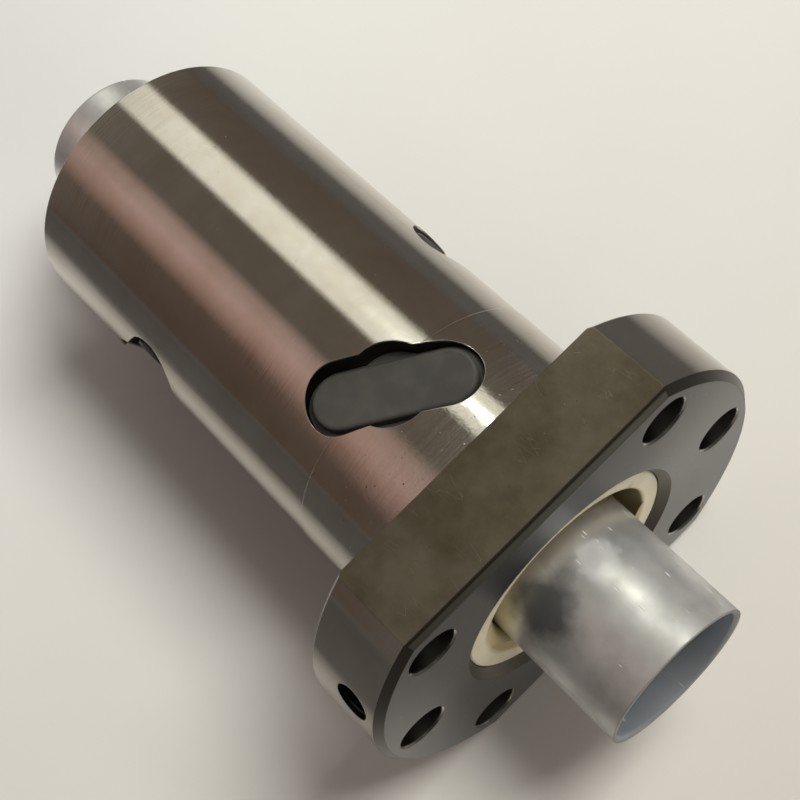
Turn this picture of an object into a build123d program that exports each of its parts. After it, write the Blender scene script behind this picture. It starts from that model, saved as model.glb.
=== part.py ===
from build123d import *
import math
import os

# Ball screw nut for a 25 mm screw with a 10 mm lead: a ground cylinder with a two-flat flange,
# four one-turn ball circuits, four moulded return caps, a wiper at each end, and the thin
# sleeve that keeps the balls in place until the nut goes on its screw.
# The nut's axis is X, and the origin is on it at the flange's mounting face. +X points from the
# body out of the flange's front, and +Z is square to the two flats.

# Nut body and flange
body_d = 40.0
body_l = 73.0
body_end_chamfer = 0.3
pilot_l = 15.5
pilot_step = 0.1
flange_edge = 2.2
flange_t = 12.0
flange_flats = 48.0
flange_front_chamfer = 0.9
flange_rear_chamfer = 0.4

# Bolt holes: three on each round side of the flange, between the body and the flange's rim
bolt_hole_d = 6.6
bolt_land = 2.2
bolt_spread = 45.0
bolt_hole_chamfer = 0.25

# Oil port, tapped M6 into the round rim, with a thin passage on to the ball track
oil_tap_d = 5.0
oil_tap_depth = 8.5
oil_angle = 22.5
oil_x = 7.4
oil_passage_d = 2.0
drill_point = 118.0

# Ball track: a right-hand helix
screw_d = 25.0
lead = 10.0
ball_d = 4.762
ball_circle_d = 26.0
ball_play = 0.07
land_play = 0.2

# Return caps, each in a slot milled straight in towards the axis, one behind the other
first_cap_x = -14.2
cap_turn = 90.0
cap_seat_room = 4.0
slot_l = 22.0
slot_w = 9.0
slot_slant = 34.5
slot_pilot_d = 11.0
cap_play = 0.1
cap_roof = 0.5
cap_pad_t = 1.5
cap_top_inset = 0.8
cap_top_round = 0.5
crossover_spread = 42.0
crossover_lift = 2.15
crossover_points = 9
throat_w = 3.8

# Wipers
wiper_d = 31.6
wiper_bore_d = 26.0
wiper_t = 6.0
wiper_recess = 1.0
wiper_play = 0.1
wiper_round = 0.35
wiper_ridge_play = 0.15
wiper_ridge_turn = 175.0
seat_lip_chamfer = 1.1

# Assembly sleeve
sleeve_play = 0.119
sleeve_wall = 0.8
sleeve_front_x = 29.2
sleeve_rear_x = -85.0
sleeve_bevel = 0.3

# Places and radii that follow
bolt_circle_d = body_d + bolt_hole_d + 2 * bolt_land
flange_d = bolt_circle_d + bolt_hole_d + 2 * flange_edge
ball_r = ball_d / 2
ball_circle_r = ball_circle_d / 2
track_r = ball_r + ball_play
land_r = screw_d / 2 + land_play
seat_d = wiper_d + 2 * wiper_play
seat_depth = wiper_recess + wiper_t
sleeve_d = ball_circle_d - ball_d - 2 * sleeve_play
cap_top_z = ball_circle_r + crossover_lift + track_r + cap_roof
cap_ledge_z = cap_top_z - cap_pad_t
# the crossover channel runs out of the cap on both sides
crossover_reach = math.degrees((slot_l / 2 + track_r) / ball_circle_r)
# as many circuits, one turn and a step apart, as the body holds in front of its rear wiper
cap_pitch_x = lead * (1 + cap_turn / 360)
slot_half_x = (slot_l - slot_w) / 2 * math.sin(math.radians(slot_slant)) + slot_w / 2
caps_room = body_l + first_cap_x - slot_half_x - cap_seat_room - seat_depth
circuits = 1 + int(caps_room / cap_pitch_x)

os.makedirs("parts", exist_ok=True)


def cap_plane(index):
    """Plane of one return cap: on the axis, Z out through the slot, X along the nut."""
    angle = math.radians(index * cap_turn)
    return Plane(
        origin=(first_cap_x - index * cap_pitch_x, 0, 0),
        x_dir=(1, 0, 0),
        z_dir=(0, math.sin(angle), math.cos(angle)),
    )


def crossover_point(angle):
    """Ball centre on the way over the screw's land, at an angle from the cap's middle.

    Inside the spread the path is an S that lifts the ball off the screw; outside it is the helix.
    The S is a cubic that meets the helix in place and in direction.
    """
    side = math.copysign(1, angle)
    t = min(1.0, abs(angle) / crossover_spread)
    if t < 1:
        s_end_x = lead / 2 - crossover_spread * lead / 360
        x = side * (s_end_x * t + lead / 4 * (t - t**3))
    else:
        x = side * lead / 2 - angle * lead / 360
    radius = ball_circle_r + crossover_lift * (1 - t**3) ** 1.5
    return Vector(x, radius * math.sin(math.radians(angle)), radius * math.cos(math.radians(angle)))


def circuit_point(angle):
    """Ball centre anywhere on one circuit, in the frame of its cap, for 0 to 360 degrees."""
    if angle <= crossover_spread:
        return crossover_point(angle)
    if angle >= 360 - crossover_spread:
        return crossover_point(angle - 360)
    x = lead / 2 - angle * lead / 360
    turn = math.radians(angle)
    return Vector(x, ball_circle_r * math.sin(turn), ball_circle_r * math.cos(turn))


def ball_centres():
    """Balls spread evenly along one circuit, as many as fit with a little room to roll."""
    steps = 720
    points = [circuit_point(360 * i / steps) for i in range(steps + 1)]
    run = [0.0]
    for a, b in zip(points, points[1:]):
        run.append(run[-1] + (b - a).length)
    count = int(run[-1] / (ball_d + ball_play)) - 1
    centres = []
    for k in range(count):
        goal = run[-1] * (k + 0.5) / count
        i = next(i for i in range(steps) if run[i + 1] >= goal)
        share = (goal - run[i]) / (run[i + 1] - run[i])
        centres.append(points[i] + (points[i + 1] - points[i]) * share)
    return centres


# The nut body, turned and ground in one piece with its flange: the pilot behind the flange has
# the full size, and the rest is ground a little under it
with BuildPart() as nut_body:
    with BuildSketch(Plane.YZ.offset(-pilot_l)):
        Circle(body_d / 2)
    extrude(amount=pilot_l)
    with BuildSketch(Plane.YZ.offset(-body_l)):
        Circle(body_d / 2 - pilot_step)
    extrude(amount=body_l - pilot_l)
    chamfer(nut_body.edges().group_by(Axis.X)[0], body_end_chamfer)
    with BuildSketch(Plane.YZ):
        Circle(flange_d / 2)
        Rectangle(flange_d, flange_flats, mode=Mode.INTERSECT)
    extrude(amount=flange_t)
    chamfer(nut_body.edges().group_by(Axis.X)[-1], flange_front_chamfer)
    rear_rim = [
        e for e in nut_body.edges().filter_by(GeomType.CIRCLE)
        if abs(e.center().X) < 0.01 and abs(e.radius - flange_d / 2) < 0.01
    ]
    chamfer(rear_rim, flange_rear_chamfer)
    # plain bore over the screw's land
    with BuildSketch(Plane.YZ.offset(-body_l)):
        Circle(land_r)
    extrude(amount=body_l + flange_t, mode=Mode.SUBTRACT)
    # wiper seats, with a wide chamfer at each mouth
    for mouth_x, inward in ((flange_t, -1), (-body_l, 1)):
        with BuildSketch(Plane.XY):
            with BuildLine():
                Polyline(
                    (mouth_x, 0),
                    (mouth_x, seat_d / 2 + seat_lip_chamfer),
                    (mouth_x + inward * seat_lip_chamfer, seat_d / 2),
                    (mouth_x + inward * seat_depth, seat_d / 2),
                    (mouth_x + inward * seat_depth, 0),
                    close=True,
                )
            make_face()
        revolve(axis=Axis.X, mode=Mode.SUBTRACT)
    # ball track, right through from one wiper seat to the other, ground out turn by turn;
    # each turn of the helix starts on the +Z side
    track_top_x = first_cap_x + lead / 2
    track_start_x = track_top_x - lead * math.ceil((track_top_x + body_l) / lead)
    track_turns = math.ceil((flange_t - seat_depth - track_start_x + track_r) / lead)
    for turn in range(track_turns):
        turn_start = (track_start_x + turn * lead, 0, 0)
        with BuildLine() as track_line:
            Helix(lead, lead, ball_circle_r, center=turn_start, direction=(1, 0, 0))
        with BuildSketch(Plane(origin=track_line.line @ 0, z_dir=track_line.line % 0)):
            Circle(track_r)
        sweep(path=track_line.line, is_frenet=True, mode=Mode.SUBTRACT)
    # slots for the return caps: a pilot hole, then a slanted slot along the ball crossover
    for index in range(circuits):
        with BuildSketch(cap_plane(index)):
            SlotOverall(slot_l, slot_w, rotation=90 - slot_slant)
            Circle(slot_pilot_d / 2)
        extrude(amount=body_d, mode=Mode.SUBTRACT)
    # bolt holes
    with BuildSketch(Plane.YZ.offset(flange_t)):
        for side in (0, 180):
            with PolarLocations(bolt_circle_d / 2, 3, side - bolt_spread, 2 * bolt_spread, endpoint=True):
                Circle(bolt_hole_d / 2)
    extrude(amount=-flange_t, mode=Mode.SUBTRACT)
    hole_rims = [e for e in nut_body.edges().filter_by(GeomType.CIRCLE)
                 if abs(e.radius - bolt_hole_d / 2) < 0.01]
    chamfer(hole_rims, bolt_hole_chamfer)
    # oil port: tapped hole with its drill point, then the passage to the track behind the wiper
    oil_turn = math.radians(oil_angle)
    oil_out = Vector(0, -math.cos(oil_turn), math.sin(oil_turn))
    tap_floor_r = flange_d / 2 - oil_tap_depth
    tap_floor = Vector(oil_x, 0, 0) + oil_out * tap_floor_r
    with BuildSketch(Plane(origin=tap_floor, z_dir=oil_out)):
        Circle(oil_tap_d / 2)
    extrude(amount=2 * oil_tap_depth, mode=Mode.SUBTRACT)
    cone_l = oil_tap_d / 2 / math.tan(math.radians(drill_point / 2))
    with Locations(Plane(origin=tap_floor, z_dir=-oil_out)):
        Cone(oil_tap_d / 2, 0, cone_l, align=(Align.CENTER, Align.CENTER, Align.MIN), mode=Mode.SUBTRACT)
    passage_out = Vector(flange_t - seat_depth - 2 * oil_passage_d, 0, 0) + oil_out * ball_circle_r
    with BuildSketch(Plane(origin=passage_out, z_dir=tap_floor - passage_out)):
        Circle(oil_passage_d / 2)
    extrude(amount=(tap_floor - passage_out).length, mode=Mode.SUBTRACT)
nut_body.part.label = "nut_body"
export_step(nut_body.part, "parts/nut_body.step")


# One return cap in its own frame, a single moulding with the crossover channel on its inside
channel_angles = [
    crossover_reach * (2 * i / (crossover_points - 1) - 1) for i in range(crossover_points)
]
with BuildPart() as cap_form:
    # body that fills the slot up to the ledge, with the round locating boss at its middle
    with BuildSketch(Plane.XY):
        SlotOverall(slot_l - 2 * cap_play, slot_w - 2 * cap_play, rotation=90 - slot_slant)
        Circle(slot_pilot_d / 2 - cap_play)
    extrude(amount=cap_ledge_z)
    # narrower pad above the ledge, with a rounded rim
    with BuildSketch(Plane.XY):
        SlotOverall(slot_l - 2 * cap_top_inset, slot_w - 2 * cap_top_inset, rotation=90 - slot_slant)
    extrude(amount=cap_top_z)
    fillet(cap_form.faces().sort_by(Axis.Z)[-1].edges(), cap_top_round)
    # inside face in line with the nut's bore
    with BuildSketch(Plane.YZ.offset(-slot_l)):
        Circle(land_r)
    extrude(amount=2 * slot_l, mode=Mode.SUBTRACT)
    # crossover channel: round along the balls' path, with a narrower throat straight down to the screw
    with BuildLine() as channel_line:
        Spline([crossover_point(a) for a in channel_angles])
    channel_start = channel_line.line @ 0
    channel_way = channel_line.line % 0
    with BuildSketch(Plane(origin=channel_start, z_dir=channel_way)):
        Circle(track_r)
    sweep(path=channel_line.line, mode=Mode.SUBTRACT)
    level_way = Vector(channel_way.X, channel_way.Y, 0)
    across = Vector(0, 0, 1).cross(level_way)
    with BuildSketch(Plane(origin=channel_start, x_dir=across, z_dir=level_way)):
        Rectangle(throat_w, cap_top_z - land_r, align=(Align.CENTER, Align.MAX))
    sweep(path=channel_line.line, normal=(0, 0, 1), mode=Mode.SUBTRACT)

for index in range(circuits):
    with BuildPart() as return_cap:
        with Locations(cap_plane(index)):
            add(cap_form.part, clean=False)
    return_cap.part.label = f"return_cap_{index + 1}"
    export_step(return_cap.part, f"parts/return_cap_{index + 1}.step")

# Balls of one circuit, some of them under way through the cap
centres = ball_centres()
for index in range(circuits):
    with BuildPart() as ball_circuit:
        with Locations(cap_plane(index)):
            with Locations(*centres):
                Sphere(ball_r)
    ball_circuit.part.label = f"ball_circuit_{index + 1}"
    export_step(ball_circuit.part, f"parts/ball_circuit_{index + 1}.step")

# Wipers: a nylon ring with an inside ridge that winds through it like the screw's track
ridge_r = ball_circle_r - sleeve_d / 2 - wiper_ridge_play
ring_wall = (wiper_d - wiper_bore_d) / 2
ring_round = min(wiper_round, 0.4 * ring_wall)
for name, mouth_x, inward in (("wiper_front", flange_t, -1), ("wiper_rear", -body_l, 1)):
    face_x = mouth_x + inward * wiper_recess
    low_x = min(face_x, face_x + inward * wiper_t)
    # the helix starts on the +Z side, behind the ring, and crosses its outer face at the ridge turn
    ridge_start_x = face_x - lead * (1 + wiper_ridge_turn / 360)
    with BuildPart() as wiper:
        with BuildLine() as ridge_line:
            Helix(lead, 3 * lead, ball_circle_r, center=(ridge_start_x, 0, 0), direction=(1, 0, 0))
        with BuildSketch(Plane(origin=ridge_line.line @ 0, z_dir=ridge_line.line % 0)):
            Circle(ridge_r)
        sweep(path=ridge_line.line, is_frenet=True)
        with BuildSketch(Plane.YZ.offset(low_x)):
            Circle(wiper_d / 2)
        extrude(amount=wiper_t, mode=Mode.INTERSECT)
        with BuildSketch(Plane.XY):
            with Locations((low_x + wiper_t / 2, (wiper_d + wiper_bore_d) / 4)):
                RectangleRounded(wiper_t, ring_wall, ring_round)
        revolve(axis=Axis.X)
    wiper.part.label = name
    export_step(wiper.part, f"parts/{name}.step")

# Assembly sleeve: a thin drawn tube, cut square and deburred
with BuildPart() as arbor_sleeve:
    with BuildSketch(Plane.YZ.offset(sleeve_rear_x)):
        Circle(sleeve_d / 2)
        Circle(sleeve_d / 2 - sleeve_wall, mode=Mode.SUBTRACT)
    extrude(amount=sleeve_front_x - sleeve_rear_x)
    inner_rims = [e for e in arbor_sleeve.edges().filter_by(GeomType.CIRCLE)
                  if abs(e.radius - sleeve_d / 2 + sleeve_wall) < 0.01]
    chamfer(inner_rims, sleeve_bevel)
arbor_sleeve.part.label = "arbor_sleeve"
export_step(arbor_sleeve.part, "parts/arbor_sleeve.step")
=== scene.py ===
import math

import bmesh
import bpy
from mathutils import Matrix, Vector


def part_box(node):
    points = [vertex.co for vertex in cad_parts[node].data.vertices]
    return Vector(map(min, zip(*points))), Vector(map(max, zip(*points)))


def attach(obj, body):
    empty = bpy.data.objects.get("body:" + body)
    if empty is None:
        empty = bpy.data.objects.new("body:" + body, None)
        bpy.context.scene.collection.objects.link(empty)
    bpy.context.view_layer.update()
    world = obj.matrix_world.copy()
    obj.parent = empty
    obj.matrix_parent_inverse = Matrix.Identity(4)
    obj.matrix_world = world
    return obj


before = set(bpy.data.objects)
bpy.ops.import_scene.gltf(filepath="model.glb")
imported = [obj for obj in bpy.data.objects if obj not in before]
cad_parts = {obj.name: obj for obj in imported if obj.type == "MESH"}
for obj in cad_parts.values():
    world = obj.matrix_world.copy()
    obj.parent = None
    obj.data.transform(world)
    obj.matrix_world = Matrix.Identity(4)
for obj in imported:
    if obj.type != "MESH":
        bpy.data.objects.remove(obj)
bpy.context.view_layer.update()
print("frame loaded:", len(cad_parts), "nodes")

mm = 0.001
noiseLow, noiseHigh = 0.3, 0.7      # most values of a noise texture lie between these
bpy.context.scene.view_settings.view_transform = "Standard"

# Sizes of the CAD body that the finishes and the thread go by, in mm. Its box in the frame gives the rest.

body = {
    "radius": 19.9,
    "flangeRadius": 31.0,
    "edgeChamfer": 0.9,       # on the flange's front
    "seatRadius": 17.0,       # at the lip of the wiper's seat
    "boltCircle": 25.5,       # its radius
    "boltRadius": 3.3,
    "portAlong": 7.4,
    "portAngle": 22.5,        # degrees above the -Y side
    "portRadius": 2.5,
}


# Small helpers

def linearColour(hexCode):      # sRGB hex to the linear colour that the shaders take
    parts = [int(hexCode[i:i + 2], 16) / 255 for i in (1, 3, 5)]
    return tuple(c / 12.92 if c <= 0.04045 else ((c + 0.055) / 1.055) ** 2.4 for c in parts) + (1.0,)


def addNode(tree, kind, inputs=None, **settings):
    node = tree.nodes.new(kind)
    for name, value in settings.items():
        setattr(node, name, value)
    for key, value in (inputs or {}).items():
        if isinstance(value, bpy.types.NodeSocket):
            tree.links.new(value, node.inputs[key])
        else:
            node.inputs[key].default_value = value
    return node


def newMaterial(name):      # the material, its tree and its Object coordinates in millimetres
    material = bpy.data.materials.new(name)
    material.use_nodes = True
    tree = material.node_tree
    tree.nodes.clear()
    place = addNode(tree, "ShaderNodeTexCoord").outputs["Object"]
    inMm = addNode(tree, "ShaderNodeVectorMath", {0: place, "Scale": 1 / mm}, operation="SCALE")
    return material, tree, inMm.outputs[0]


def endMaterial(tree, shader):
    addNode(tree, "ShaderNodeOutputMaterial", {"Surface": shader.outputs[0]})


def seenByEyeOrMetal(tree):     # 1 for what the camera, a mirror or glass looks at, 0 for light that falls
    path = addNode(tree, "ShaderNodeLightPath").outputs
    seen = addNode(tree, "ShaderNodeMath", {
        0: path["Is Camera Ray"], 1: path["Is Glossy Ray"]}, operation="MAXIMUM").outputs[0]
    return addNode(tree, "ShaderNodeMath", {
        0: seen, 1: path["Is Transmission Ray"]}, operation="MAXIMUM").outputs[0]


# Camera at the photograph's angle

camera = {
    "place": (0.0594875, -0.0144929, 0.1692378),
    "forward": (-0.42860, 0.08334, -0.89964),
    "up": (-0.62130, 0.69575, 0.36045),
    "lens": 64.65,
    "clipStart": 5 * mm,
}


def makeCamera(values):
    data = bpy.data.cameras.new("camera")
    data.lens = values["lens"]
    data.clip_start = values["clipStart"]
    cam = bpy.data.objects.new("camera", data)
    back = -Vector(values["forward"]).normalized()
    right = Vector(values["up"]).cross(back).normalized()
    turn = Matrix((right, back.cross(right), back)).transposed()
    cam.matrix_world = Matrix.Translation(values["place"]) @ turn.to_4x4()
    bpy.context.scene.collection.objects.link(cam)
    bpy.context.scene.camera = cam


makeCamera(camera)


# Pale table top. The nut lies on it tipped: on its flange and on the rear end of its body.

floor = {
    "colour": "#EFF0E9",
    "nearColour": "#D0CCC2",      # toward the flange's front, where the light falls off
    "nearFrom": (-110.0, 70.0),   # mm along the axis: where that begins, and where it is full
    "cloud": 50.0,                # mm, faint clouds in the paint
    "cloudShare": 0.2,
    "roughness": 0.75,
    "specular": 0.2,
    "rearDrop": 20 * mm,          # the body's radius, at its rear end
    "flangeDrop": 24 * mm,        # half the flange across its flats
    "reach": 3.0,                 # metres
    "fade": (0.25, 0.9),          # metres from the nut: between these the table melts into the sky
}


def makeFloor(values, skyColour):
    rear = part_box("nut_body")[0].x
    slope = (values["flangeDrop"] - values["rearDrop"]) / -rear
    reach = values["reach"]
    corners = [(x, y, -values["flangeDrop"] - slope * x)
               for x, y in ((-reach, -reach), (reach, -reach), (reach, reach), (-reach, reach))]
    mesh = bpy.data.meshes.new("tableTop")
    mesh.from_pydata(corners, [], [(0, 1, 2, 3)])
    top = bpy.data.objects.new("tableTop", mesh)
    bpy.context.scene.collection.objects.link(top)
    material, tree, place = newMaterial("paintedTableTop")
    along = addNode(tree, "ShaderNodeSeparateXYZ", {0: place}).outputs[0]
    cloud = addNode(tree, "ShaderNodeTexNoise", {
        "Vector": place, "Scale": 1 / values["cloud"], "Detail": 3.0}).outputs["Fac"]
    begin, full = values["nearFrom"]
    share = addNode(tree, "ShaderNodeMapRange", {0: along, 1: begin, 2: full}).outputs[0]
    share = addNode(tree, "ShaderNodeMath", {
        0: cloud, 1: values["cloudShare"], 2: share}, operation="MULTIPLY_ADD").outputs[0]
    tone = addNode(tree, "ShaderNodeMix", {
        0: share, 6: linearColour(values["colour"]), 7: linearColour(values["nearColour"])},
        data_type="RGBA").outputs[2]
    paint = addNode(tree, "ShaderNodeBsdfPrincipled", {
        "Base Color": tone,
        "Roughness": values["roughness"],
        "Specular IOR Level": values["specular"],
    })
    away = addNode(tree, "ShaderNodeVectorMath", {0: place}, operation="LENGTH").outputs["Value"]
    begin, end = (distance / mm for distance in values["fade"])
    far = addNode(tree, "ShaderNodeMapRange", {
        0: away, 1: begin, 2: end}, interpolation_type="SMOOTHSTEP").outputs[0]
    far = addNode(tree, "ShaderNodeMath", {
        0: far, 1: seenByEyeOrMetal(tree)}, operation="MULTIPLY").outputs[0]
    haze = addNode(tree, "ShaderNodeEmission", {"Color": linearColour(skyColour)})
    endMaterial(tree, addNode(tree, "ShaderNodeMixShader", {
        0: far, 1: paint.outputs[0], 2: haze.outputs[0]}))
    mesh.materials.append(material)


# Light: one soft key for the shadow, a weak lamp in front and a pale world. Around them hangs
# a tent that only metal sees: dark cloth with a window strip, a rosy strip and, just above the
# table, dark flags. They stand for the room that the steel and the aluminium mirror.

light = {
    "keyFrom": (0.18, 0.50, 0.85),
    "keyDistance": 0.8,
    "keySize": 0.34,
    "keyPower": 6.2,
    "keyColour": "#FFFEFC",
    "skyColour": "#E3E0D8",
    "fillColour": "#F6E4E1",
    "fill": 0.19,
    "frontFrom": (0.93, 0.10, 0.34),
    "frontDistance": 0.9,
    "frontSize": 0.5,
    "frontPower": 1.6,
    "tentRadius": 1.5,
    "tentGain": 2.0,
    # angle over the nut's axis, from straight up toward +Y, in degrees, and what hangs there
    "tent": (
        (-100, "#3E3630"), (-54, "#463B34"), (-42, "#80675F"), (-31, "#947D78"), (-19, "#85726C"),
        (-11, "#4D4740"), (17.5, "#4D4740"), (22, "#CACAC0"), (46, "#CECEC3"), (51, "#4B443C"),
        (100, "#453E39"),
    ),
    # the same in front, where the sleeve mirrors it
    "tentFront": (
        (-100, "#46433F"), (-60, "#4B4742"), (-35, "#5F5853"), (-12, "#6B6760"), (8, "#75736B"),
        (22, "#8A8981"), (32, "#97978E"), (44, "#92918A"), (54, "#77766F"), (70, "#6A6963"),
        (100, "#8D8B86"),
    ),
    "frontBegins": (-0.37, -0.31),    # how far forward the tent changes, from -1 to 1
    "rosyBegins": (-0.52, -0.40),     # the same for the rosy strip's wider end
    "rosySpread": 0.24,               # how much wider that end reaches down
    "rearBegins": (-0.67, -0.73),     # the same for the cloth that the rear sleeve mirrors
    "rearColour": "#6E6B66",
    "roomBegins": (0.0, 0.5),         # the same for the dark room in front of the nut
    "roomGain": 0.2,                  # the tent's share there
    "windowFrom": (-0.29, 0.53, 0.80),
    "windowSpread": (1.5, 5.5),       # degrees: full inside the first, gone past the second
    "windowGain": 46.0,
    "flagColour": "#4C4947",
    "flagLift": 0.3,                  # mm above the table
    "flagSide": (34.0, 78.0),         # mm from the axis: where the left flag begins, and is full
    "flagRight": (40.0, 110.0),       # the same for the right one
    "flagSideShare": 0.92,
    "flagFront": (6.0, 40.0),         # mm along the axis: the same for the front one
    "flagFrontShare": 0.8,
}


def makeLamp(values, name):
    data = bpy.data.lights.new(name, "AREA")
    data.shape = "SQUARE"
    data.size = values[name + "Size"]
    data.energy = values[name + "Power"]
    data.color = linearColour(values["keyColour"])[:3]
    lamp = bpy.data.objects.new(name, data)
    away = Vector(values[name + "From"]).normalized()
    lamp.location = away * values[name + "Distance"]
    lamp.rotation_mode = "QUATERNION"
    lamp.rotation_quaternion = away.to_track_quat("Z", "Y")
    lamp.visible_glossy = False     # the tent's window stands for it there
    bpy.context.scene.collection.objects.link(lamp)


def makeWorld(values):
    world = bpy.data.worlds.new("studio")
    world.use_nodes = True
    tree = world.node_tree
    tree.nodes.clear()
    fill = addNode(tree, "ShaderNodeBackground", {
        "Color": linearColour(values["fillColour"]), "Strength": values["fill"]})
    sky = addNode(tree, "ShaderNodeBackground", {"Color": linearColour(values["skyColour"])})
    both = addNode(tree, "ShaderNodeMixShader", {
        0: seenByEyeOrMetal(tree), 1: fill.outputs[0], 2: sky.outputs[0]})
    addNode(tree, "ShaderNodeOutputWorld", {"Surface": both.outputs[0]})
    bpy.context.scene.world = world


def onlyForMetal(card):
    card.visible_camera = False
    card.visible_diffuse = False
    card.visible_shadow = False
    card.visible_volume_scatter = False


def hangCloth(tree, over, hung):    # colours by the angle over the nut's axis
    reach = math.radians(hung[-1][0])
    share = addNode(tree, "ShaderNodeMapRange", {0: over, 1: -reach, 2: reach})
    ramp = addNode(tree, "ShaderNodeValToRGB", {0: share.outputs[0]})
    stops = ramp.color_ramp.elements
    while len(stops) < len(hung):
        stops.new(1.0)
    for stop, (angle, colour) in zip(stops, hung):
        stop.position = (math.radians(angle) + reach) / (2 * reach)
        stop.color = linearColour(colour)
    return ramp.outputs[0]


def makeTent(values):
    bpy.ops.mesh.primitive_uv_sphere_add(segments=48, ring_count=24, radius=values["tentRadius"])
    tent = bpy.context.object
    tent.name = "tent"
    material, tree, place = newMaterial("tentCloth")
    towards = addNode(tree, "ShaderNodeVectorMath", {0: place}, operation="NORMALIZE").outputs[0]
    x, y, z = addNode(tree, "ShaderNodeSeparateXYZ", {0: towards}).outputs
    over = addNode(tree, "ShaderNodeMath", {0: y, 1: z}, operation="ARCTAN2").outputs[0]

    # the rosy strip reaches further down at its wider end, so angles there are drawn in
    begin, end = values["rosyBegins"]
    spread = addNode(tree, "ShaderNodeMapRange", {
        0: x, 1: begin, 2: end, 4: values["rosySpread"]}).outputs[0]
    down = addNode(tree, "ShaderNodeMath", {0: over, 1: 0.0}, operation="MINIMUM").outputs[0]
    down = addNode(tree, "ShaderNodeMath", {0: down, 1: -1.0}, operation="MULTIPLY").outputs[0]
    over = addNode(tree, "ShaderNodeMath", {
        0: down, 1: spread, 2: over}, operation="MULTIPLY_ADD").outputs[0]

    # colour
    begin, end = values["frontBegins"]
    forward = addNode(tree, "ShaderNodeMapRange", {0: x, 1: begin, 2: end}).outputs[0]
    cloth = addNode(tree, "ShaderNodeMix", {
        0: forward,
        6: hangCloth(tree, over, values["tent"]),
        7: hangCloth(tree, over, values["tentFront"]),
    }, data_type="RGBA").outputs[2]
    begin, end = values["rearBegins"]
    backward = addNode(tree, "ShaderNodeMapRange", {0: x, 1: begin, 2: end}).outputs[0]
    cloth = addNode(tree, "ShaderNodeMix", {
        0: backward, 6: cloth, 7: linearColour(values["rearColour"])}, data_type="RGBA").outputs[2]

    # strength
    window = Vector(values["windowFrom"]).normalized()
    near = addNode(tree, "ShaderNodeVectorMath", {
        0: towards, 1: window}, operation="DOT_PRODUCT").outputs["Value"]
    full, gone = (math.cos(math.radians(angle)) for angle in values["windowSpread"])
    gain = addNode(tree, "ShaderNodeMapRange", {
        0: near, 1: gone, 2: full, 3: values["tentGain"], 4: values["windowGain"]},
        interpolation_type="SMOOTHSTEP").outputs[0]
    begin, end = values["roomBegins"]
    room = addNode(tree, "ShaderNodeMapRange", {
        0: x, 1: begin, 2: end, 3: 1.0, 4: values["roomGain"]}).outputs[0]
    gain = addNode(tree, "ShaderNodeMath", {0: gain, 1: room}, operation="MULTIPLY").outputs[0]
    endMaterial(tree, addNode(tree, "ShaderNodeEmission", {"Color": cloth, "Strength": gain}))
    tent.data.materials.append(material)
    onlyForMetal(tent)


def makeFlags(values):
    table = bpy.data.objects["tableTop"].data
    lift = Vector((0, 0, values["flagLift"] * mm))
    mesh = bpy.data.meshes.new("flags")
    mesh.from_pydata([v.co + lift for v in table.vertices], [], [(0, 1, 2, 3)])
    flags = bpy.data.objects.new("flags", mesh)
    bpy.context.scene.collection.objects.link(flags)
    material, tree, place = newMaterial("flagCloth")
    part = addNode(tree, "ShaderNodeSeparateXYZ", {0: place}).outputs
    left, right = values["flagSide"], values["flagRight"]
    cover = None
    for reading, begin, full, share in (
            (part[1], -left[0], -left[1], values["flagSideShare"]),
            (part[1], right[0], right[1], values["flagSideShare"]),
            (part[0], *values["flagFront"], values["flagFrontShare"])):
        flag = addNode(tree, "ShaderNodeMapRange", {0: reading, 1: begin, 2: full, 4: share}).outputs[0]
        cover = flag if cover is None else addNode(
            tree, "ShaderNodeMath", {0: cover, 1: flag}, operation="MAXIMUM").outputs[0]
    clear = addNode(tree, "ShaderNodeBsdfTransparent")
    cloth = addNode(tree, "ShaderNodeEmission", {"Color": linearColour(values["flagColour"])})
    endMaterial(tree, addNode(tree, "ShaderNodeMixShader", {
        0: cover, 1: clear.outputs[0], 2: cloth.outputs[0]}))
    mesh.materials.append(material)
    onlyForMetal(flags)


makeFloor(floor, light["skyColour"])
makeLamp(light, "key")
makeLamp(light, "front")
makeWorld(light)
makeTent(light)
makeFlags(light)
print("camera, table and light made")


# Ground bearing steel: grey metal, fine grinding lines round the axis that draw reflections
# out along it, a thin brown oil film, small pits and drops near the flange. The flats are
# milled and stained, the front face is turned, and its broken edges and the slots are dull.
# The front face, its round edge, the slots, the wiper's seat and the oil port are coloured
# darker as painted shade, the slots partly for oil.

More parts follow.
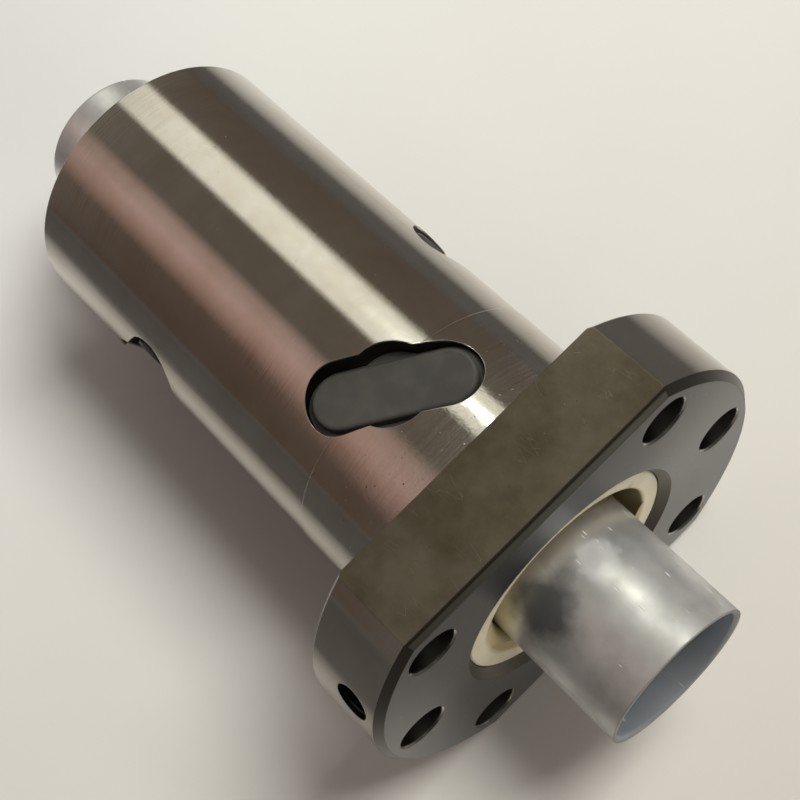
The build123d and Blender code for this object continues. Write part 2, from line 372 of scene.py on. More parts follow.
steel = {
    "bright": "#C8C3BB",
    "oil": "#BFB6AA",
    "flat": "#847D6B",
    "flatStain": "#625945",
    # painted shade: the turned face is coloured darker than the ground steel, as it looks into the dark in
    # front
    "face": "#9C9C9D",
    "chamfer": "#6A6458",         # its stained half, next to the flat
    # painted shade: the round edge is coloured dark, as it looks into the dark in front
    "rim": "#6E6A64",             # the round edge of the front face
    # painted shade: the slots' walls, the wiper's seat and the oil port are coloured dark for the shade in
    # these recesses, the slots' walls partly for oil
    "slot": "#4B463F",
    "seat": "#76726A",
    "hole": "#94918C",
    "port": "#4F4B45",
    "pit": "#5C4D42",
    "drop": "#D9CFC2",
    "scratch": "#B5AD98",
    "roughness": 0.12,
    "roughnessSpread": 0.03,
    "flatRoughness": 0.43,
    "faceRoughness": 0.34,
    "edgeRoughness": 0.4,         # of chamfers, slots and the seat
    "holeRoughness": 0.3,
    "scratchRoughness": 0.3,
    "flatSheen": 0.85,            # metallic share under the oxide
    "lineSpacing": 0.32,          # mm; real grinding lines are finer than the picture shows
    "lineDrift": 0.025,           # how fast a line changes on its way round
    "flatLines": (0.7, 0.5, 1.0), # the same along X, Y and Z where the flats are milled
    "mottle": 0.5,                # mm, the skin of the oil film
    "stain": 7.0,                 # mm
    "stainTone": (0.38, 0.72),
    "pitSpacing": 0.75,           # mm
    "pitSize": (0.16, 0.06),      # share of the spacing: its edge, and where it is full
    "pitFrom": (-13.0, -6.0),     # mm along the axis: where the pits begin, and where they are thick
    "pitShare": (0.012, 0.85),    # how many there are at these two places
    "pitShareOnFlange": 0.02,
    "pitPatch": (0.42, 0.56),     # the stain's level below which they thin out, and where they don't
    "pitPatchLow": 0.25,
    "dropsFrom": 0.4,             # the pits' luck past which one is a drop of oil
    "scratchTurn": (0.3, 0.2, 0.9),
    "scratchStretch": (0.2, 1.2, 0.7),
    "scratchWidth": (0.010, 0.003),
    "scratchShare": 0.5,
    "scratchPatch": (0.56, 0.62),
    "scratchPatchesPerMm": 0.3,
    "peel": (0.5, 2.4),           # height of the film's skin before the pits and among them
    "peelOnFlange": 0.4,
    "lineHeight": 1.5,
    "pitDepth": 5.0,
    "heightUnit": 0.0035,         # mm
    "edge": 0.16,                 # mm, broken by a file
}


def makeGroundSteel(values):
    material, tree, place = newMaterial("groundBearingSteel")
    x, y, z = addNode(tree, "ShaderNodeSeparateXYZ", {0: place}).outputs
    across = addNode(tree, "ShaderNodeCombineXYZ", {1: y, 2: z}).outputs[0]
    radius = addNode(tree, "ShaderNodeVectorMath", {0: across}, operation="LENGTH").outputs["Value"]
    turn = addNode(tree, "ShaderNodeMath", {0: y, 1: z}, operation="ARCTAN2").outputs[0]
    arc = addNode(tree, "ShaderNodeMath", {0: turn, 1: radius}, operation="MULTIPLY").outputs[0]
    wide = addNode(tree, "ShaderNodeMath", {0: y}, operation="ABSOLUTE").outputs[0]
    high = addNode(tree, "ShaderNodeMath", {0: z}, operation="ABSOLUTE").outputs[0]
    slant = addNode(tree, "ShaderNodeMath", {0: high, 1: x}).outputs[0]
    cone = addNode(tree, "ShaderNodeMath", {0: radius, 1: x}).outputs[0]

    # how far it is to the axis of the nearest bolt hole and of the oil port
    corner = body["boltCircle"] * math.sqrt(0.5)
    folded = addNode(tree, "ShaderNodeCombineXYZ", {1: wide, 2: high}).outputs[0]
    toBolt = None
    for centre in ((0, body["boltCircle"], 0), (0, corner, corner)):
        gap = addNode(tree, "ShaderNodeVectorMath", {
            0: folded, 1: centre}, operation="DISTANCE").outputs["Value"]
        toBolt = gap if toBolt is None else addNode(
            tree, "ShaderNodeMath", {0: toBolt, 1: gap}, operation="MINIMUM").outputs[0]
    portTurn = math.radians(body["portAngle"])
    portAcross = addNode(tree, "ShaderNodeVectorMath", {
        0: place, 1: (0, math.sin(portTurn), math.cos(portTurn))}, operation="DOT_PRODUCT").outputs["Value"]
    portFlat = addNode(tree, "ShaderNodeCombineXYZ", {0: x, 1: portAcross}).outputs[0]
    toPort = addNode(tree, "ShaderNodeVectorMath", {
        0: portFlat, 1: (body["portAlong"], 0, 0)}, operation="DISTANCE").outputs["Value"]

    # a mask for each surface: what it goes by, where it begins and where it is full, in mm,
    # each a little off the real edge so that neighbours don't mix
    low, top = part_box("nut_body")
    rear, front, halfFlats = low.x / mm, top.x / mm, top.z / mm
    slantEdge = halfFlats + front - body["edgeChamfer"]
    coneEdge = body["flangeRadius"] + front - body["edgeChamfer"]
    edges = {
        "flat": (high, halfFlats - 0.07, halfFlats - 0.03),
        "face": (x, front - 0.1, front - 0.03),
        "deep": (radius, body["radius"] - 0.15, body["radius"] - 0.3),
        "behindFace": (x, front - 1.15, front - 1.25),
        "beforeEnd": (x, rear + 0.3, rear + 0.4),
        "onBody": (radius, body["radius"] + 0.6, body["radius"] + 0.4),
        "bevelled": (slant, slantEdge - 0.08, slantEdge - 0.02),
        "nextToFlat": (high, halfFlats - 0.4, halfFlats - 0.25),
        "rim": (cone, coneEdge - 0.08, coneEdge - 0.02),
        "seat": (radius, body["seatRadius"] + 0.03, body["seatRadius"] - 0.02),
        "hole": (toBolt, body["boltRadius"] + 0.06, body["boltRadius"] + 0.03),
        "port": (toPort, body["portRadius"] + 0.05, body["portRadius"] + 0.02),
        "portSide": (y, -15.0, -15.01),
    }
    masks = {}
    for name, (reading, begin, full) in edges.items():
        masks[name] = addNode(tree, "ShaderNodeMapRange", {0: reading, 1: begin, 2: full}).outputs[0]
    for name, first, second, operation in (
            ("slot", "deep", "behindFace", "MULTIPLY"), ("slot", "slot", "beforeEnd", "MULTIPLY"),
            ("chamfer", "bevelled", "nextToFlat", "MULTIPLY"), ("bevelled", "bevelled", "rim", "MAXIMUM"),
            ("port", "port", "portSide", "MULTIPLY"), ("hole", "hole", "port", "MAXIMUM")):
        masks[name] = addNode(tree, "ShaderNodeMath", {
            0: masks[first], 1: masks[second]}, operation=operation).outputs[0]
    flat, onBody = masks["flat"], masks["onBody"]

    # grinding lines round the axis, straight on the flats
    lineScale = 1 / values["lineSpacing"]
    drift = values["lineDrift"] * lineScale
    ring = addNode(tree, "ShaderNodeCombineXYZ", {0: x, 1: arc, 2: radius}).outputs[0]
    ring = addNode(tree, "ShaderNodeVectorMath", {
        0: ring, 1: (lineScale, drift, lineScale)}, operation="MULTIPLY").outputs[0]
    straight = addNode(tree, "ShaderNodeVectorMath", {
        0: place, 1: [share * lineScale for share in values["flatLines"]]}, operation="MULTIPLY").outputs[0]
    lineVector = addNode(tree, "ShaderNodeMix", {
        0: flat, 4: ring, 5: straight}, data_type="VECTOR").outputs[1]
    lines = addNode(tree, "ShaderNodeTexNoise", {
        "Vector": lineVector, "Scale": 1.0, "Detail": 3.0}).outputs["Fac"]

    # oil film and stains
    mottle = addNode(tree, "ShaderNodeTexNoise", {
        "Vector": place, "Scale": 1 / values["mottle"], "Detail": 2.0, "Roughness": 0.5}).outputs["Fac"]
    stain = addNode(tree, "ShaderNodeTexNoise", {
        "Vector": place, "Scale": 1 / values["stain"], "Detail": 5.0, "Roughness": 0.6}).outputs["Fac"]

    # pits, and drops of oil among them
    begin, thick = values["pitFrom"]
    few, many = values["pitShare"]
    zone = addNode(tree, "ShaderNodeMapRange", {0: x, 1: begin, 2: thick, 3: few, 4: many}).outputs[0]
    thin, whole = values["pitPatch"]
    patch = addNode(tree, "ShaderNodeMapRange", {
        0: stain, 1: thin, 2: whole, 3: values["pitPatchLow"], 4: 1.0}).outputs[0]
    zone = addNode(tree, "ShaderNodeMath", {0: zone, 1: patch}, operation="MULTIPLY").outputs[0]
    zone = addNode(tree, "ShaderNodeMix", {0: onBody, 2: values["pitShareOnFlange"], 3: zone}).outputs[0]
    pits = addNode(tree, "ShaderNodeTexVoronoi", {"Vector": place, "Scale": 1 / values["pitSpacing"]})
    outside, inside = values["pitSize"]
    pit = addNode(tree, "ShaderNodeMapRange", {
        0: pits.outputs["Distance"], 1: outside, 2: inside}).outputs[0]
    luck = addNode(tree, "ShaderNodeSeparateXYZ", {0: pits.outputs["Color"]}).outputs
    chosen = addNode(tree, "ShaderNodeMath", {0: luck[0], 1: zone}, operation="LESS_THAN").outputs[0]
    pit = addNode(tree, "ShaderNodeMath", {0: pit, 1: chosen}, operation="MULTIPLY").outputs[0]
    bright = addNode(tree, "ShaderNodeMath", {
        0: luck[1], 1: values["dropsFrom"]}, operation="GREATER_THAN").outputs[0]
    drop = addNode(tree, "ShaderNodeMath", {0: pit, 1: bright}, operation="MULTIPLY").outputs[0]

    # scratches in patches on the flats
    scratchVector = addNode(tree, "ShaderNodeMapping", {
        "Vector": place, "Rotation": values["scratchTurn"], "Scale": values["scratchStretch"]}).outputs[0]
    scratches = addNode(tree, "ShaderNodeTexVoronoi", {
        "Vector": scratchVector, "Scale": 1.0}, feature="DISTANCE_TO_EDGE").outputs["Distance"]
    outside, inside = values["scratchWidth"]
    scratch = addNode(tree, "ShaderNodeMapRange", {
        0: scratches, 1: outside, 2: inside, 4: values["scratchShare"]}).outputs[0]
    here = addNode(tree, "ShaderNodeTexNoise", {
        "Vector": place, "Scale": values["scratchPatchesPerMm"], "Detail": 1.0}).outputs["Fac"]
    none, whole = values["scratchPatch"]
    here = addNode(tree, "ShaderNodeMapRange", {0: here, 1: none, 2: whole}).outputs[0]
    scratch = addNode(tree, "ShaderNodeMath", {0: scratch, 1: flat}, operation="MULTIPLY").outputs[0]
    scratch = addNode(tree, "ShaderNodeMath", {0: scratch, 1: here}, operation="MULTIPLY").outputs[0]
    masks.update(pit=pit, drop=drop, scratch=scratch)

    # colour
    clean, stained = values["stainTone"]
    tone = addNode(tree, "ShaderNodeMapRange", {0: stain, 1: clean, 2: stained}).outputs[0]
    metal = addNode(tree, "ShaderNodeMix", {
        0: tone, 6: linearColour(values["bright"]), 7: linearColour(values["oil"])},
        data_type="RGBA").outputs[2]
    dull = addNode(tree, "ShaderNodeMix", {
        0: tone, 6: linearColour(values["flat"]), 7: linearColour(values["flatStain"])},
        data_type="RGBA").outputs[2]
    metal = addNode(tree, "ShaderNodeMix", {0: flat, 6: metal, 7: dull}, data_type="RGBA").outputs[2]
    # the face, its round edge, the slots, the seat and the oil port take darker colours here, as painted
    # shade
    for name in ("face", "chamfer", "rim", "scratch", "pit", "drop", "slot", "seat", "hole", "port"):
        metal = addNode(tree, "ShaderNodeMix", {
            0: masks[name], 6: metal, 7: linearColour(values[name])}, data_type="RGBA").outputs[2]

    # roughness
    middle, spread = values["roughness"], values["roughnessSpread"]
    rough = addNode(tree, "ShaderNodeMapRange", {
        0: lines, 1: noiseLow, 2: noiseHigh, 3: middle - spread, 4: middle + spread}).outputs[0]
    for name, other in (("face", "face"), ("flat", "flat"), ("chamfer", "edge"), ("rim", "edge"),
                        ("hole", "hole"), ("slot", "edge"), ("seat", "edge"), ("scratch", "scratch")):
        rough = addNode(tree, "ShaderNodeMix", {
            0: masks[name], 2: rough, 3: values[other + "Roughness"]}).outputs[0]

    # height, on edges that are broken by a file, and none on the chamfers
    calm, rippled = values["peel"]
    peel = addNode(tree, "ShaderNodeMapRange", {0: x, 1: begin, 2: thick, 3: calm, 4: rippled}).outputs[0]
    peel = addNode(tree, "ShaderNodeMix", {0: onBody, 2: values["peelOnFlange"], 3: peel}).outputs[0]
    fine = addNode(tree, "ShaderNodeMath", {0: mottle, 1: peel}, operation="MULTIPLY").outputs[0]
    for part, height in ((lines, values["lineHeight"]), (pit, -values["pitDepth"])):
        fine = addNode(tree, "ShaderNodeMath", {
            0: part, 1: height, 2: fine}, operation="MULTIPLY_ADD").outputs[0]
    smooth = addNode(tree, "ShaderNodeMath", {
        0: 1.0, 1: masks["bevelled"]}, operation="SUBTRACT").outputs[0]
    fine = addNode(tree, "ShaderNodeMath", {0: fine, 1: smooth}, operation="MULTIPLY").outputs[0]
    edge = addNode(tree, "ShaderNodeBevel", {"Radius": values["edge"] * mm}, samples=6)
    bump = addNode(tree, "ShaderNodeBump", {
        "Height": fine, "Distance": values["heightUnit"] * mm, "Strength": 1.0, "Normal": edge.outputs[0]})
    oxide = addNode(tree, "ShaderNodeMapRange", {0: flat, 3: 1.0, 4: values["flatSheen"]}).outputs[0]
    around = addNode(tree, "ShaderNodeTangent", direction_type="RADIAL", axis="X")
    endMaterial(tree, addNode(tree, "ShaderNodeBsdfPrincipled", {
        "Base Color": metal,
        "Metallic": oxide,
        "Roughness": rough,
        "Anisotropic": 0.7,
        "Anisotropic Rotation": 0.25,
        "Normal": bump.outputs[0],
        "Tangent": around.outputs[0],
    }))
    return material


# Moulded nylon with black filler: dull black with a soft satin sheen and a fine grain

capPlastic = {
    "colour": "#3F3E3A",
    "worn": "#4B4944",
    "wornFrom": (0.4, 0.75),
    "roughness": 0.4,
    "roughnessSpread": 0.1,
    "grainsPerMm": 6.0,
    "grainHeight": 0.012,     # mm
    "cloudsPerMm": 0.35,
    "edge": 0.35,             # mm
}


def makeCapPlastic(values):
    material, tree, place = newMaterial("mouldedBlackNylon")
    grain = addNode(tree, "ShaderNodeTexNoise", {
        "Vector": place, "Scale": values["grainsPerMm"], "Detail": 3.0}).outputs["Fac"]
    cloud = addNode(tree, "ShaderNodeTexNoise", {
        "Vector": place, "Scale": values["cloudsPerMm"], "Detail": 3.0}).outputs["Fac"]
    fresh, worn = values["wornFrom"]
    tone = addNode(tree, "ShaderNodeMapRange", {0: cloud, 1: fresh, 2: worn}).outputs[0]
    colour = addNode(tree, "ShaderNodeMix", {
        0: tone, 6: linearColour(values["colour"]), 7: linearColour(values["worn"])},
        data_type="RGBA").outputs[2]
    middle, spread = values["roughness"], values["roughnessSpread"]
    rough = addNode(tree, "ShaderNodeMapRange", {
        0: cloud, 3: middle - spread, 4: middle + spread}).outputs[0]
    edge = addNode(tree, "ShaderNodeBevel", {"Radius": values["edge"] * mm}, samples=6).outputs[0]
    bump = addNode(tree, "ShaderNodeBump", {
        "Height": grain, "Distance": values["grainHeight"] * mm, "Strength": 0.6, "Normal": edge})
    endMaterial(tree, addNode(tree, "ShaderNodeBsdfPrincipled", {
        "Base Color": colour, "Roughness": rough, "Normal": bump.outputs[0]}))
    return material


# Natural nylon: ivory, slightly see-into, with an oily smear, a moulding line and painted shade
# on its inner edge

wiperNylon = {
    "colour": "#F5EED7",
    "shade": "#E2D8B4",
    # painted shade: the inner edge of the ring is coloured darker brown for the shade in its recess
    "inside": "#BDAD7C",
    "insideFrom": (13.6, 12.8),   # mm from the axis
    "smear": "#8A774B",
    "smearAt": (13.2, 61.0),      # mm from the axis, and degrees from straight up toward +Y
    "smearSize": (2.6, 1.4),      # mm: its edge, and where it is full
    "smearRagged": 2.5,           # mm
    "smearShare": 0.6,
    "partingAngle": 5.0,          # degrees from straight up
    "partingWidth": (0.12, 0.04), # mm: the line's edge, and where it is full
    "partingShare": 0.7,
    "roughness": 0.27,
    "cloudsPerMm": 0.3,
    "grainsPerMm": 2.0,
    "grainHeight": 0.02,          # mm
    "edge": 0.3,                  # mm
    "seeInto": (0.9, 0.8, 0.5),   # mm for red, green and blue
}


def makeWiperNylon(values):
    material, tree, place = newMaterial("naturalNylon")
    part = addNode(tree, "ShaderNodeSeparateXYZ", {0: place}).outputs
    across = addNode(tree, "ShaderNodeCombineXYZ", {1: part[1], 2: part[2]}).outputs[0]
    radius = addNode(tree, "ShaderNodeVectorMath", {0: across}, operation="LENGTH").outputs["Value"]
    cloud = addNode(tree, "ShaderNodeTexNoise", {
        "Vector": place, "Scale": values["cloudsPerMm"], "Detail": 4.0}).outputs["Fac"]
    # the inner edge, darkened as painted shade
    begin, full = values["insideFrom"]
    inner = addNode(tree, "ShaderNodeMapRange", {0: radius, 1: begin, 2: full}).outputs[0]

    # oily smear beside the sleeve
    smearRadius, smearAngle = values["smearAt"]
    smearTurn = math.radians(smearAngle)
    gap = addNode(tree, "ShaderNodeVectorMath", {
        0: across, 1: (0.0, smearRadius * math.sin(smearTurn), smearRadius * math.cos(smearTurn))},
        operation="DISTANCE").outputs["Value"]
    blot = addNode(tree, "ShaderNodeMath", {
        0: cloud, 1: values["smearRagged"], 2: gap}, operation="MULTIPLY_ADD").outputs[0]
    begin, full = values["smearSize"]
    smear = addNode(tree, "ShaderNodeMapRange", {
        0: blot, 1: begin, 2: full, 4: values["smearShare"]}).outputs[0]

    # moulding line across the upper half
    partTurn = math.radians(values["partingAngle"])
    sideways = (0.0, math.cos(partTurn), -math.sin(partTurn))
    beside = addNode(tree, "ShaderNodeVectorMath", {
        0: across, 1: sideways}, operation="DOT_PRODUCT").outputs["Value"]
    beside = addNode(tree, "ShaderNodeMath", {0: beside}, operation="ABSOLUTE").outputs[0]
    begin, full = values["partingWidth"]
    parting = addNode(tree, "ShaderNodeMapRange", {
        0: beside, 1: begin, 2: full, 4: values["partingShare"]}).outputs[0]
    upper = addNode(tree, "ShaderNodeMath", {0: part[2], 1: 0.0}, operation="GREATER_THAN").outputs[0]
    parting = addNode(tree, "ShaderNodeMath", {0: parting, 1: upper}, operation="MULTIPLY").outputs[0]

    colour = addNode(tree, "ShaderNodeMix", {
        0: cloud, 6: linearColour(values["colour"]), 7: linearColour(values["shade"])},
        data_type="RGBA").outputs[2]
    for mask, name in ((inner, "inside"), (smear, "smear"), (parting, "smear")):
        colour = addNode(tree, "ShaderNodeMix", {
            0: mask, 6: colour, 7: linearColour(values[name])}, data_type="RGBA").outputs[2]
    grain = addNode(tree, "ShaderNodeTexNoise", {
        "Vector": place, "Scale": values["grainsPerMm"], "Detail": 3.0}).outputs["Fac"]
    edge = addNode(tree, "ShaderNodeBevel", {"Radius": values["edge"] * mm}, samples=6).outputs[0]
    bump = addNode(tree, "ShaderNodeBump", {
        "Height": grain, "Distance": values["grainHeight"] * mm, "Strength": 0.5, "Normal": edge})
    endMaterial(tree, addNode(tree, "ShaderNodeBsdfPrincipled", {
        "Base Color": colour,
        "Roughness": values["roughness"],
        "Subsurface Weight": 0.25,
        "Subsurface Radius": [depth * mm for depth in values["seeInto"]],
        "Subsurface Scale": 1.0,
        "Normal": bump.outputs[0],
    }))
    return material


# Drawn aluminium tube: pale satin metal, die lines along it, nicks from handling painted white
# as glints, a painted dark reflection and a painted highlight on a scuff beside the wiper

sleeveAluminium = {
    "bright": "#F0F0EE",
    "dull": "#D9D9D6",
    "dullFrom": (0.35, 0.7),
    "inside": "#DDE3E8",
    "insideFrom": (9.9, 9.8),     # mm from the axis
    "roughness": 0.42,
    "roughnessSpread": (-0.05, 0.07),
    "rubbed": 0.36,               # roughness beside the wiper, where the tube was rubbed smooth
    "rubbedTo": (16.0, 20.0),     # mm along the axis: full up to the first, gone past the second
    "sheen": 0.86,                # metallic share: the skin is matt with oxide
    "cloudsPerMm": 0.25,
    # painted reflection: a dark grey patch beside the wiper that stands for a dark reflection there
    "paintedReflection": "#5F6266",
    "paintedReflectionAt": (14.5, -5.6, 8.9),
    "paintedReflectionSize": (2.5, 0.0),     # mm: its edge, and where it is full
    "paintedReflectionRagged": 5.0,          # mm
    "paintedReflectionShare": 0.75,
    # scuff and painted highlight: a rubbed patch beside the wiper whose lower metallic share shows white,
    # standing for the glint there
    "scuffAndGlintAt": (15.4, 2.6, 10.1),
    "scuffAndGlintSize": (3.4, 1.6),      # mm: its edge, and where it is full
    "scuffAndGlintRagged": 2.0,           # mm
    "scuffAndGlintGrainsPerMm": 1.2,
    "scuffAndGlintSheen": 0.58,
    # nicks are real marks; their pure white colour paints their glints
    "nickAndGlint": "#FFFFFF",
    "nickRuns": ((0.9, 0.22), (-0.5, 0.30), (1.7, 0.26)),     # radians, and how drawn out they are
    "nickTilt": (0.3, 0.4),
    "nickDensity": 0.8,
    "nickWidth": (0.11, 0.05),
    "nickSheen": 0.3,             # of a burr, which scatters light
    "nickDepth": 6.0,
    "handledSide": (0.0, 0.62, 0.78),
    "handledFrom": (8.0, 10.0),   # mm toward that side: where nicks begin, and where they are thick
    "nickLuck": (0.9, 0.2),       # the luck past which a nick is there, at these two places
    "lineSpacing": 0.25,          # mm
    "lineDrift": 0.06,            # how fast a line changes along the tube
    "heightUnit": 0.008,          # mm
    "edge": 0.3,                  # mm
}


def makeSleeveAluminium(values):
    material, tree, place = newMaterial("drawnAluminium")
    x, y, z = addNode(tree, "ShaderNodeSeparateXYZ", {0: place}).outputs
    across = addNode(tree, "ShaderNodeCombineXYZ", {1: y, 2: z}).outputs[0]
    radius = addNode(tree, "ShaderNodeVectorMath", {0: across}, operation="LENGTH").outputs["Value"]
    lineScale = 1 / values["lineSpacing"]
    drift = values["lineDrift"] * lineScale
    lineVector = addNode(tree, "ShaderNodeVectorMath", {
        0: place, 1: (drift, lineScale, lineScale)}, operation="MULTIPLY").outputs[0]
    lines = addNode(tree, "ShaderNodeTexNoise", {
        "Vector": lineVector, "Scale": 1.0, "Detail": 2.0}).outputs["Fac"]
    cloud = addNode(tree, "ShaderNodeTexNoise", {
        "Vector": place, "Scale": values["cloudsPerMm"], "Detail": 4.0}).outputs["Fac"]

    # nicks, painted white as glints, most of them on the side that faces up and to the right
    handled = addNode(tree, "ShaderNodeVectorMath", {
        0: across, 1: values["handledSide"]}, operation="DOT_PRODUCT").outputs["Value"]
    begin, thick = values["handledFrom"]
    rare, common = values["nickLuck"]
    handled = addNode(tree, "ShaderNodeMapRange", {
        0: handled, 1: begin, 2: thick, 3: rare, 4: common}).outputs[0]
    outside, inside = values["nickWidth"]
    nickAndGlint = None
    for turn, along in values["nickRuns"]:
        tilt = (*values["nickTilt"], turn)
        nickVector = addNode(tree, "ShaderNodeMapping", {
            "Vector": place, "Rotation": tilt, "Scale": (along, 1.3, 1.0)}).outputs[0]
        nicks = addNode(tree, "ShaderNodeTexVoronoi", {
            "Vector": nickVector, "Scale": values["nickDensity"]}).outputs
        cut = addNode(tree, "ShaderNodeMapRange", {
            0: nicks["Distance"], 1: outside, 2: inside}).outputs[0]
        luck = addNode(tree, "ShaderNodeSeparateXYZ", {0: nicks["Color"]}).outputs[0]
        chosen = addNode(tree, "ShaderNodeMath", {0: luck, 1: handled}, operation="GREATER_THAN").outputs[0]
        cut = addNode(tree, "ShaderNodeMath", {0: cut, 1: chosen}, operation="MULTIPLY").outputs[0]
        nickAndGlint = cut if nickAndGlint is None else addNode(
            tree, "ShaderNodeMath", {0: nickAndGlint, 1: cut}, operation="MAXIMUM").outputs[0]

    # painted dark reflection beside the wiper, and the grey wall inside
    gap = addNode(tree, "ShaderNodeVectorMath", {
        0: place, 1: values["paintedReflectionAt"]}, operation="DISTANCE").outputs["Value"]
    ragged = addNode(tree, "ShaderNodeMath", {
        0: cloud, 1: -values["paintedReflectionRagged"], 2: gap}, operation="MULTIPLY_ADD").outputs[0]
    begin, full = values["paintedReflectionSize"]
    paintedReflection = addNode(tree, "ShaderNodeMapRange", {
        0: ragged, 1: begin, 2: full, 4: values["paintedReflectionShare"]}).outputs[0]
    begin, full = values["insideFrom"]
    inner = addNode(tree, "ShaderNodeMapRange", {0: radius, 1: begin, 2: full}).outputs[0]

    # colour
    clean, dull = values["dullFrom"]
    tone = addNode(tree, "ShaderNodeMapRange", {0: cloud, 1: clean, 2: dull}).outputs[0]
    colour = addNode(tree, "ShaderNodeMix", {
        0: tone, 6: linearColour(values["bright"]), 7: linearColour(values["dull"])},
        data_type="RGBA").outputs[2]
    for mask, name in ((paintedReflection, "paintedReflection"), (nickAndGlint, "nickAndGlint"), (inner, "inside")):
        colour = addNode(tree, "ShaderNodeMix", {
            0: mask, 6: colour, 7: linearColour(values[name])}, data_type="RGBA").outputs[2]

    # roughness
    smoothest, roughest = (values["roughness"] + spread for spread in values["roughnessSpread"])
    rough = addNode(tree, "ShaderNodeMapRange", {
        0: cloud, 1: noiseLow, 2: noiseHigh, 3: smoothest, 4: roughest}).outputs[0]
    full, end = values["rubbedTo"]
    worn = addNode(tree, "ShaderNodeMapRange", {
        0: x, 1: end, 2: full}, interpolation_type="SMOOTHSTEP").outputs[0]
    rough = addNode(tree, "ShaderNodeMix", {0: worn, 2: rough, 3: values["rubbed"]}).outputs[0]

    # metallic share: less on nicks and on the scuff, where the lower share lets diffuse light
    # show white: a painted highlight beside the wiper, on a partly real scuff. The noise that
    # frays it is 0.5 on average, so half of that is added to its size.
    gap = addNode(tree, "ShaderNodeVectorMath", {
        0: place, 1: values["scuffAndGlintAt"]}, operation="DISTANCE").outputs["Value"]
    ragged = addNode(tree, "ShaderNodeTexNoise", {
        "Vector": place, "Scale": values["scuffAndGlintGrainsPerMm"], "Detail": 3.0}).outputs["Fac"]
    ragged = addNode(tree, "ShaderNodeMath", {
        0: ragged, 1: values["scuffAndGlintRagged"], 2: gap}, operation="MULTIPLY_ADD").outputs[0]
    begin, full = (size + values["scuffAndGlintRagged"] / 2 for size in values["scuffAndGlintSize"])
    scuffAndGlint = addNode(tree, "ShaderNodeMapRange", {
        0: ragged, 1: begin, 2: full}, interpolation_type="SMOOTHSTEP").outputs[0]
    sheen = values["sheen"]
    for mask, other in ((nickAndGlint, values["nickSheen"]), (scuffAndGlint, values["scuffAndGlintSheen"])):
        sheen = addNode(tree, "ShaderNodeMix", {0: mask, 2: sheen, 3: other}).outputs[0]

    height = addNode(tree, "ShaderNodeMath", {
        0: nickAndGlint, 1: -values["nickDepth"], 2: lines}, operation="MULTIPLY_ADD").outputs[0]
    edge = addNode(tree, "ShaderNodeBevel", {"Radius": values["edge"] * mm}, samples=6).outputs[0]
    bump = addNode(tree, "ShaderNodeBump", {
        "Height": height, "Distance": values["heightUnit"] * mm, "Strength": 1.0, "Normal": edge})
    endMaterial(tree, addNode(tree, "ShaderNodeBsdfPrincipled", {
        "Base Color": colour, "Metallic": sheen, "Roughness": rough, "Normal": bump.outputs[0]}))
    return material


# Polished ball steel, with a trace of oil

ballSteel = {
    "colour": "#C8C7C4",
    "roughness": (0.04, 0.12),    # where it is clean, and under the oil
    "filmsPerMm": 0.8,
}


def makeBallSteel(values):
    material, tree, place = newMaterial("polishedBallSteel")
    film = addNode(tree, "ShaderNodeTexNoise", {
        "Vector": place, "Scale": values["filmsPerMm"], "Detail": 3.0}).outputs["Fac"]
    clean, oily = values["roughness"]
    rough = addNode(tree, "ShaderNodeMapRange", {0: film, 3: clean, 4: oily}).outputs[0]
    endMaterial(tree, addNode(tree, "ShaderNodeBsdfPrincipled", {
        "Base Color": linearColour(values["colour"]), "Metallic": 1.0, "Roughness": rough}))
    return material


finishes = {
    "nut_body": makeGroundSteel(steel),
    "return_cap": makeCapPlastic(capPlastic),
    "ball_circuit": makeBallSteel(ballSteel),
    "wiper": makeWiperNylon(wiperNylon),
    "arbor_sleeve": makeSleeveAluminium(sleeveAluminium),
}
for nodeName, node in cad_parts.items():
    for start, finish in finishes.items():
        if nodeName.startswith(start):
            node.data.materials.clear()
            node.data.materials.append(finish)
print("finishes given to", len(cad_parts), "nodes")


# M6 thread in the oil port: a ridge that winds along its wall, made by nodes

oilThread = {
    "ridge": 0.3,             # mm
    "pitch": 1.0,             # mm
    "turns": 7.4,
    "startRadius": 22.9,      # mm from the nut's axis, at the port's floor
}


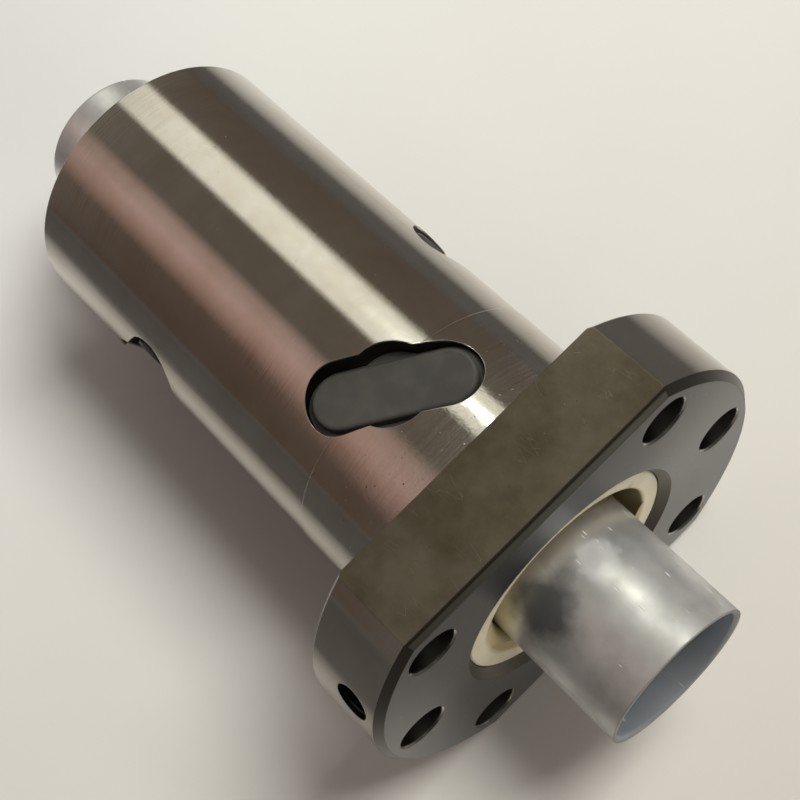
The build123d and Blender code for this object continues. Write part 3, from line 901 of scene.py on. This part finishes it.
def makeThreadTree(values, finish):
    tree = bpy.data.node_groups.new("threadRidge", "GeometryNodeTree")
    tree.is_modifier = True
    for name in ("Bore radius", "Ridge", "Pitch", "Turns"):
        tree.interface.new_socket(name, in_out="INPUT", socket_type="NodeSocketFloat")
    tree.interface.new_socket("Geometry", in_out="OUTPUT", socket_type="NodeSocketGeometry")
    given = addNode(tree, "NodeGroupInput").outputs
    rise = addNode(tree, "ShaderNodeMath", {0: given["Pitch"], 1: given["Turns"]}, operation="MULTIPLY")
    helix = addNode(tree, "GeometryNodeCurveSpiral", {
        "Resolution": 40, "Rotations": given["Turns"], "Start Radius": given["Bore radius"],
        "End Radius": given["Bore radius"], "Height": rise.outputs[0]})
    upright = addNode(tree, "GeometryNodeSetCurveNormal", {"Curve": helix.outputs[0]})
    if "Mode" in upright.inputs:
        upright.inputs["Mode"].default_value = "Z Up"
    else:
        upright.mode = "Z_UP"
    crest = addNode(tree, "GeometryNodeCurvePrimitiveCircle", {"Resolution": 4, "Radius": given["Ridge"]})
    ridge = addNode(tree, "GeometryNodeCurveToMesh", {
        "Curve": upright.outputs[0], "Profile Curve": crest.outputs[0], "Fill Caps": True})
    angle = math.radians(body["portAngle"])
    outward = Vector((0.0, -math.cos(angle), math.sin(angle)))
    start = (Vector((body["portAlong"], 0.0, 0.0)) + outward * values["startRadius"]) * mm
    placed = addNode(tree, "GeometryNodeTransform", {
        "Geometry": ridge.outputs[0],
        "Translation": start,
        "Rotation": Vector((0, 0, 1)).rotation_difference(outward).to_euler(),
    })
    real = addNode(tree, "GeometryNodeRealizeInstances", {"Geometry": placed.outputs[0]})
    done = addNode(tree, "GeometryNodeSetMaterial", {"Geometry": real.outputs[0], "Material": finish})
    addNode(tree, "NodeGroupOutput", {"Geometry": done.outputs[0]})
    return tree


def makeByNodes(name, tree, inputs):
    piece = bpy.data.objects.new(name, bpy.data.meshes.new(name))
    bpy.context.scene.collection.objects.link(piece)
    modifier = piece.modifiers.new("nodes", "NODES")
    modifier.node_group = tree
    for item in tree.interface.items_tree:
        if item.in_out == "INPUT" and item.name in inputs:
            modifier[item.identifier] = inputs[item.name]
    ready = piece.evaluated_get(bpy.context.evaluated_depsgraph_get())
    mesh = bpy.data.meshes.new_from_object(ready)
    piece.modifiers.remove(modifier)
    weld = 0.001 * mm
    form = bmesh.new()
    form.from_mesh(mesh)
    bmesh.ops.remove_doubles(form, verts=form.verts, dist=weld)
    bmesh.ops.recalc_face_normals(form, faces=form.faces)
    form.to_mesh(mesh)
    form.free()
    mesh.name = name
    piece.data = mesh
    return piece


threadTree = makeThreadTree(oilThread, finishes["nut_body"])
thread = makeByNodes("oil_port_thread", threadTree, {
    "Bore radius": body["portRadius"] * mm,
    "Ridge": oilThread["ridge"] * mm,
    "Pitch": oilThread["pitch"] * mm,
    "Turns": oilThread["turns"],
})
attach(thread, "nut")
print("oil port threaded:", len(thread.data.polygons), "faces")
